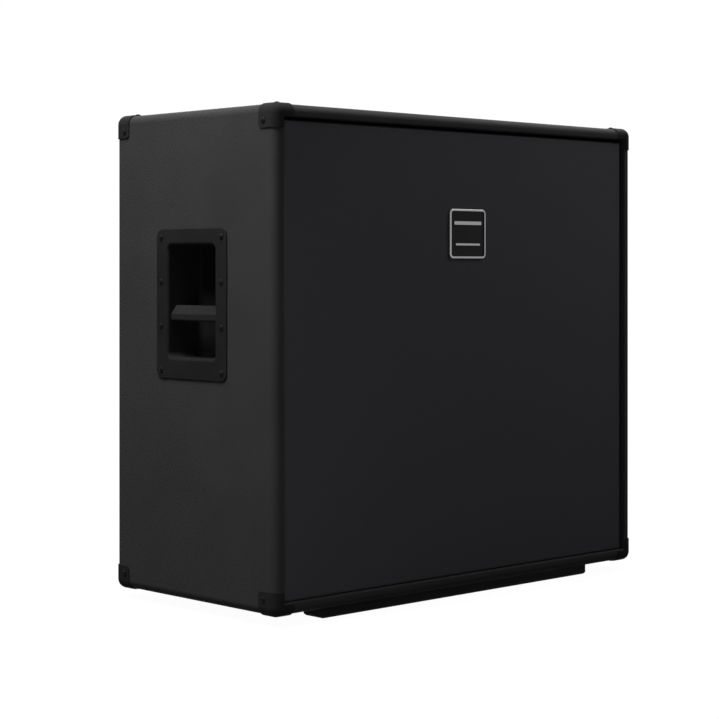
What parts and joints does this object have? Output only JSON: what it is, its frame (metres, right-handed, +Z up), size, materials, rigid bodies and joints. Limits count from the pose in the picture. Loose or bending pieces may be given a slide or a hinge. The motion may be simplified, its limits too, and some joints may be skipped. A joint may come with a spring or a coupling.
{
  "type": "guitar speaker cabinet",
  "caption": "Upright closed-back guitar speaker cabinet: vinyl-covered plywood box, pull-off cloth grille, sprung cones, recessed side handles, corner caps and an input plate.",
  "frame": {"origin": "on the floor under the middle of the cabinet, at the underside of its skids", "axes": "+Z up, +X to the right as seen from the front, the front with its grille faces -Y"},
  "size_m": [0.7704, 0.3592, 0.7108],
  "materials": {
    "plywood": "matte",
    "black_plywood": "matte",
    "black_vinyl": "satin",
    "grille_cloth": "matte",
    "black_plastic": "satin",
    "black_rubber": "matte",
    "black_steel": "satin",
    "zinc_steel": "satin",
    "nickel": "polished",
    "badge_black": "gloss",
    "ferrite": "matte",
    "cone_paper": "matte",
    "gasket_board": "matte",
    "spider_cloth": "matte",
    "coil_metal": "satin",
    "brass": "satin",
    "cable_black": "satin",
    "hook_fabric": "matte"
  },
  "bodies": {
    "cabinet": {"baffle_board": "black_plywood", "bottom_panel": "plywood", "centre_post": "plywood", "corner_screws": "black_steel", "front_corner_protectors": "black_plastic", "front_skid": "black_plywood", "handle_screws": "black_steel", "hook_pads": "hook_fabric", "input_jacks": "nickel", "jack_nuts": "nickel", "jack_plate": "black_steel", "jack_plate_screws": "black_steel", "left_handle_bar": "black_plastic", "left_handle_dish": "black_plastic", "left_side_panel": "plywood", "rear_cleats": "plywood", "rear_corner_protectors": "black_plastic", "rear_panel": "plywood", "rear_panel_covering": "black_vinyl", "rear_panel_screws": "black_steel", "rear_skid": "black_plywood", "right_handle_bar": "black_plastic", "right_handle_dish": "black_plastic", "right_side_panel": "plywood", "selector_switch": "black_plastic", "skid_screws": "black_steel", "speaker_baskets": "black_steel", "speaker_bolts": "black_steel", "speaker_cables": "cable_black", "speaker_front_plates": "zinc_steel", "speaker_gaskets": "gasket_board", "speaker_magnets": "ferrite", "speaker_pole_yokes": "zinc_steel", "speaker_spiders": "spider_cloth", "speaker_surrounds": "cone_paper", "speaker_terminals": "brass", "tee_nuts": "zinc_steel", "top_panel": "plywood", "vinyl_covering": "black_vinyl"},
    "grille": {"grille_frame": "black_plywood", "grille_cloth": "grille_cloth", "loop_pads": "hook_fabric", "badge_plate": "badge_black", "badge_rim": "nickel", "badge_ribs": "nickel"},
    "selector": {"selector_lever": "nickel"},
    "upper_left_cone_assembly": {"upper_left_cone": "cone_paper", "upper_left_voice_coil": "coil_metal", "upper_left_dust_cap": "cone_paper"},
    "upper_right_cone_assembly": {"upper_right_cone": "cone_paper", "upper_right_voice_coil": "coil_metal", "upper_right_dust_cap": "cone_paper"},
    "lower_left_cone_assembly": {"lower_left_cone": "cone_paper", "lower_left_voice_coil": "coil_metal", "lower_left_dust_cap": "cone_paper"},
    "lower_right_cone_assembly": {"lower_right_cone": "cone_paper", "lower_right_voice_coil": "coil_metal", "lower_right_dust_cap": "cone_paper"}
  },
  "joints": [
    {"name": "upper_left_cone_travel", "type": "slide", "parent": "cabinet", "child": "upper_left_cone_assembly", "axis": [0, -1, 0], "range_m": [-0.003, 0.003], "stiffness_N_per_m": 5000, "deforming": ["speaker_surrounds", "speaker_spiders"]},
    {"name": "upper_right_cone_travel", "type": "slide", "parent": "cabinet", "child": "upper_right_cone_assembly", "axis": [0, -1, 0], "range_m": [-0.003, 0.003], "stiffness_N_per_m": 5000, "deforming": ["speaker_surrounds", "speaker_spiders"]},
    {"name": "lower_left_cone_travel", "type": "slide", "parent": "cabinet", "child": "lower_left_cone_assembly", "axis": [0, -1, 0], "range_m": [-0.003, 0.003], "stiffness_N_per_m": 5000, "deforming": ["speaker_surrounds", "speaker_spiders"]},
    {"name": "lower_right_cone_travel", "type": "slide", "parent": "cabinet", "child": "lower_right_cone_assembly", "axis": [0, -1, 0], "range_m": [-0.003, 0.003], "stiffness_N_per_m": 5000, "deforming": ["speaker_surrounds", "speaker_spiders"]},
    {"name": "grille_pull", "type": "slide", "parent": "cabinet", "child": "grille", "axis": [0, -1, 0], "range_m": [0, 0.3]},
    {"name": "selector_toggle", "type": "hinge", "parent": "cabinet", "child": "selector", "pos_m": [0, 0.1656, 0.249], "axis": [1, 0, 0], "range_deg": [0, 24]}
  ]
}
